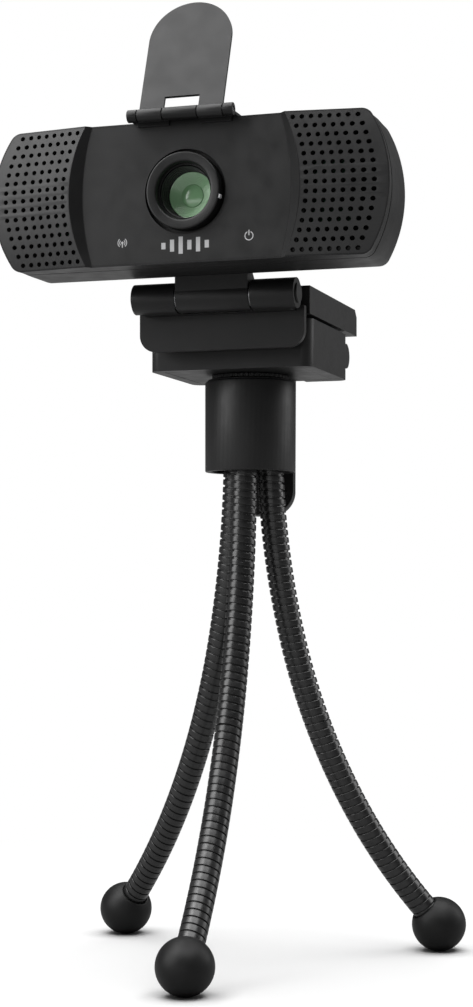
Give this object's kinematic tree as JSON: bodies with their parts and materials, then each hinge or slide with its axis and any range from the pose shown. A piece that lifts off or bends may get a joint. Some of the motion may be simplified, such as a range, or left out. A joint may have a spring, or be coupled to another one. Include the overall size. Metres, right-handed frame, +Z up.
{
  "type": "webcam on tripod",
  "caption": "Webcam with grilles, focus ring and flip-up privacy cover on a folding clip base, standing on a gooseneck mini tripod with ball feet.",
  "frame": {"origin": "on the floor, under the middle of the bounding box", "axes": "+Z up, the lens looks along -Y, +X is to the right of somebody facing the lens"},
  "size_m": [0.1098, 0.0972, 0.2512],
  "materials": {
    "shell_plastic": "fine-grained black moulding",
    "face_plastic": "smooth satin black",
    "grille_plastic": "satin charcoal, perforated",
    "clip_plastic": "fine-grained black moulding",
    "flap_plastic": "semi-gloss dark grey",
    "sign_print": "light grey inlay",
    "lens_plastic": "black, satin",
    "lens_glass": "green anti-reflection coating",
    "light_guide": "clear acrylic",
    "circuit_board": "green solder mask",
    "silicon": "sensor cover",
    "mic_metal": "pressed can",
    "rubber_black": "matte",
    "pin_steel": "ground",
    "screw_steel": "black oxide",
    "washer_steel": "spring steel",
    "thread_brass": "machined",
    "head_coat": "satin black",
    "hose_coat": "satin black coated gooseneck hose",
    "foot_rubber": "matte black"
  },
  "bodies": {
    "tripod": {"tripod_head": "head_coat", "head_plug": "head_coat", "leg_ferrules": "hose_coat", "tripod_screw": "screw_steel"},
    "lock_ring": {"lock_ring": "head_coat"},
    "clip_base": {"clip_base": "clip_plastic", "base_cover": "clip_plastic", "thread_insert": "thread_brass", "fold_pin": "pin_steel", "rear_leg_pin": "pin_steel"},
    "rear_leg": {"rear_leg": "clip_plastic", "rear_leg_pad": "rubber_black"},
    "top_plate": {"top_plate": "clip_plastic", "lip_pad": "rubber_black", "plate_pad": "rubber_black", "tilt_pin": "pin_steel", "friction_washers": "washer_steel", "pin_caps": "clip_plastic"},
    "webcam": {"front_shell": "shell_plastic", "rear_shell": "shell_plastic", "face_plate": "face_plastic", "left_grille": "grille_plastic", "right_grille": "grille_plastic", "lens_holder": "lens_plastic", "image_sensor": "silicon", "main_board": "circuit_board", "microphones": "mic_metal", "mic_gaskets": "rubber_black", "light_pipes": "light_guide", "status_icons": "sign_print", "centre_mark": "sign_print", "cable_gland": "rubber_black", "shell_screws": "screw_steel", "tilt_neck": "clip_plastic", "privacy_clip": "shell_plastic", "flap_pin": "pin_steel"},
    "privacy_flap": {"privacy_flap": "flap_plastic"},
    "focus_ring": {"focus_ring": "lens_plastic"},
    "lens": {"lens_barrel": "lens_plastic", "front_lens": "lens_glass", "rear_lens": "lens_glass", "lens_retainer": "lens_plastic"},
    "front_leg_upper": {"front_leg_upper": "hose_coat"},
    "front_leg_middle": {"front_leg_middle": "hose_coat"},
    "front_leg_lower": {"front_leg_lower": "hose_coat", "front_foot": "foot_rubber"},
    "left_leg_upper": {"left_leg_upper": "hose_coat"},
    "left_leg_middle": {"left_leg_middle": "hose_coat"},
    "left_leg_lower": {"left_leg_lower": "hose_coat", "left_foot": "foot_rubber"},
    "right_leg_upper": {"right_leg_upper": "hose_coat"},
    "right_leg_middle": {"right_leg_middle": "hose_coat"},
    "right_leg_lower": {"right_leg_lower": "hose_coat", "right_foot": "foot_rubber"}
  },
  "joints": [
    {"name": "lock_ring_turn", "type": "hinge", "parent": "tripod", "child": "lock_ring", "pos_m": [0, 0.01366, 0.1605], "axis": [0, 0, 1], "continuous": true},
    {"name": "clip_pan", "type": "hinge", "parent": "tripod", "child": "clip_base", "pos_m": [0, 0.01366, 0.1611], "axis": [0, 0, 1], "range_deg": [-120, 120]},
    {"name": "rear_leg_swing", "type": "hinge", "parent": "clip_base", "child": "rear_leg", "pos_m": [0, 0.03336, 0.1681], "axis": [1, 0, 0], "range_deg": [0, 100]},
    {"name": "clip_fold", "type": "hinge", "parent": "clip_base", "child": "top_plate", "pos_m": [0, 0.03716, 0.1777], "axis": [-1, 0, 0], "range_deg": [0, 85]},
    {"name": "head_tilt", "type": "hinge", "parent": "top_plate", "child": "webcam", "pos_m": [0, -0.01684, 0.1788], "axis": [1, 0, 0], "range_deg": [-40, 60]},
    {"name": "flap_swing", "type": "hinge", "parent": "webcam", "child": "privacy_flap", "pos_m": [0, -0.04434, 0.2206], "axis": [1, 0, 0], "range_deg": [0, 200]},
    {"name": "focus_turn", "type": "hinge", "parent": "webcam", "child": "focus_ring", "pos_m": [0, -0.04034, 0.2017], "axis": [0, 1, 0], "range_deg": [-90, 90]},
    {"name": "lens_travel", "type": "slide", "parent": "webcam", "child": "lens", "axis": [0, 1, 0], "range_m": [-0.0003, 0.0003]},
    {"name": "front_leg_bend_1", "type": "hinge", "parent": "tripod", "child": "front_leg_upper", "pos_m": [0, 0.00776, 0.1315], "axis": [-1, 0, 0], "range_deg": [-4, 22]},
    {"name": "front_leg_bend_2", "type": "hinge", "parent": "front_leg_upper", "child": "front_leg_middle", "pos_m": [0, 0.00122, 0.0867], "axis": [-1, 0, 0], "range_deg": [-12, 25]},
    {"name": "front_leg_bend_3", "type": "hinge", "parent": "front_leg_middle", "child": "front_leg_lower", "pos_m": [0, -0.01484, 0.04441], "axis": [-1, 0, 0], "range_deg": [-12, 25]},
    {"name": "left_leg_bend_1", "type": "hinge", "parent": "tripod", "child": "left_leg_upper", "pos_m": [-0.00511, 0.01661, 0.1315], "axis": [0.5, 0.866, 0], "range_deg": [-4, 22]},
    {"name": "left_leg_bend_2", "type": "hinge", "parent": "left_leg_upper", "child": "left_leg_middle", "pos_m": [-0.01077, 0.01988, 0.0867], "axis": [0.5, 0.866, 0], "range_deg": [-12, 25]},
    {"name": "left_leg_bend_3", "type": "hinge", "parent": "left_leg_middle", "child": "left_leg_lower", "pos_m": [-0.02468, 0.02791, 0.04441], "axis": [0.5, 0.866, 0], "range_deg": [-12, 25]},
    {"name": "right_leg_bend_1", "type": "hinge", "parent": "tripod", "child": "right_leg_upper", "pos_m": [0.00511, 0.01661, 0.1315], "axis": [0.5, -0.866, 0], "range_deg": [-4, 22]},
    {"name": "right_leg_bend_2", "type": "hinge", "parent": "right_leg_upper", "child": "right_leg_middle", "pos_m": [0.01077, 0.01988, 0.0867], "axis": [0.5, -0.866, 0], "range_deg": [-12, 25]},
    {"name": "right_leg_bend_3", "type": "hinge", "parent": "right_leg_middle", "child": "right_leg_lower", "pos_m": [0.02468, 0.02791, 0.04441], "axis": [0.5, -0.866, 0], "range_deg": [-12, 25]}
  ],
  "couplings": [
    {"joint": "focus_turn", "follows": "lens_travel", "rad_per_m": 5236}
  ]
}
